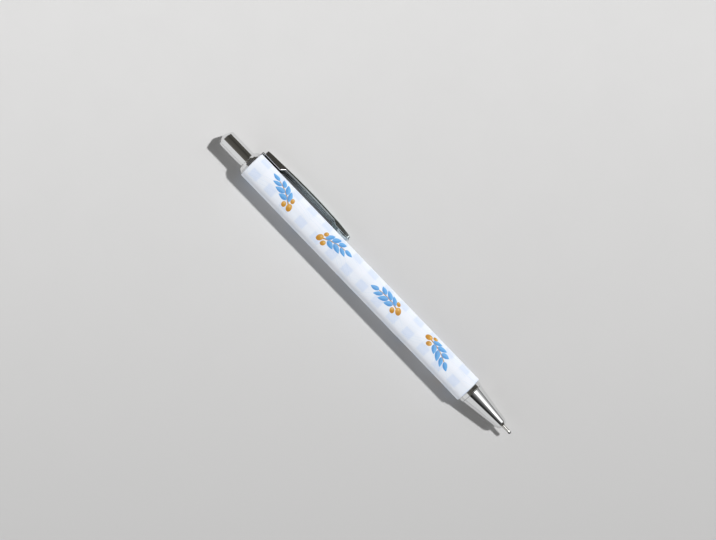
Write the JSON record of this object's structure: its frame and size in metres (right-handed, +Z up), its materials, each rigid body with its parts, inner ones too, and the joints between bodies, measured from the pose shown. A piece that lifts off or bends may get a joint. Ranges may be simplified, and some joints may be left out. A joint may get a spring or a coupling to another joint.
{
  "type": "retractable ballpoint pen",
  "caption": "Slim click ballpoint pen: printed barrel sleeve, chromed push button, collar, pressed channel clip and screw-off cone nose, with cam mechanism, refill and return spring inside.",
  "frame": {"origin": "on the surface that the pen lies on, at the middle of the barrel's lowest flat, halfway along the pen's length with the point out", "axes": "+X along the pen towards the writing point, +Y to the side that the clip is on, +Z up from the surface"},
  "size_m": [0.14, 0.0132, 0.01],
  "materials": {
    "sleeve_print": "glossy printed film, white with a pale blue gingham check and small blue and tan sprigs",
    "tube_aluminium": "drawn tube, plain",
    "chrome": "bright chrome plate on brass",
    "clip_chrome": "bright chrome plate on pressed spring steel",
    "guide_acetal": "moulded acetal, natural white",
    "cam_acetal": "moulded acetal, dark grey",
    "insert_brass": "turned brass",
    "spring_steel": "drawn spring wire",
    "refill_plastic": "translucent polypropylene, drawn as opaque",
    "ink": "black ink paste",
    "point_metal": "turned nickel silver",
    "ball_carbide": "polished tungsten carbide, inked"
  },
  "bodies": {
    "barrel": {"printed_sleeve": "sleeve_print", "barrel_tube": "tube_aluminium", "top_collar": "chrome", "cam_guide": "guide_acetal", "front_bushing": "insert_brass", "clip_ring": "clip_chrome", "return_spring": "spring_steel"},
    "clip": {"clip": "clip_chrome"},
    "button": {"button_shell": "chrome", "button_core": "guide_acetal"},
    "refill": {"refill_tube": "refill_plastic", "ink_column": "ink", "refill_adaptor": "refill_plastic", "refill_point": "point_metal"},
    "rotor": {"cam_rotor": "cam_acetal"},
    "ball": {"writing_ball": "ball_carbide"},
    "nose_carrier": {"nose_ring": "chrome"},
    "nose": {"nose_cone": "chrome"}
  },
  "joints": [
    {"name": "button_slide", "type": "slide", "parent": "barrel", "child": "button", "axis": [1, 0, 0], "range_m": [-0.005, 0.0012]},
    {"name": "refill_slide", "type": "slide", "parent": "barrel", "child": "refill", "axis": [1, 0, 0], "range_m": [-0.005, 0.0012], "deforming": ["return_spring"]},
    {"name": "rotor_turn", "type": "hinge", "parent": "refill", "child": "rotor", "pos_m": [-0.035, 0, 0.005], "axis": [1, 0, 0], "range_deg": [-45.5, 11.2]},
    {"name": "clip_flex", "type": "hinge", "parent": "barrel", "child": "clip", "pos_m": [-0.05645, 0.00496, 0.00288], "axis": [0, 0.3934, 0.9194], "range_deg": [0, 4], "stiffness_Nm_per_rad": 2.4, "springref_deg": -1.15},
    {"name": "nose_travel", "type": "slide", "parent": "barrel", "child": "nose_carrier", "axis": [1, 0, 0], "range_m": [0, 0.0045]},
    {"name": "nose_turn", "type": "hinge", "parent": "nose_carrier", "child": "nose", "pos_m": [0.05, 0, 0.005], "axis": [1, 0, 0], "range_deg": [0, 1621]},
    {"name": "ball_roll", "type": "hinge", "parent": "refill", "child": "ball", "pos_m": [0.0695, 0, 0.005], "axis": [0, 1, 0], "continuous": true}
  ],
  "couplings": [
    {"joint": "refill_slide", "follows": "button_slide", "ratio": 1},
    {"joint": "rotor_turn", "follows": "button_slide", "rad_per_m": 157.08},
    {"joint": "nose_turn", "follows": "nose_travel", "rad_per_m": 6283.2}
  ]
}
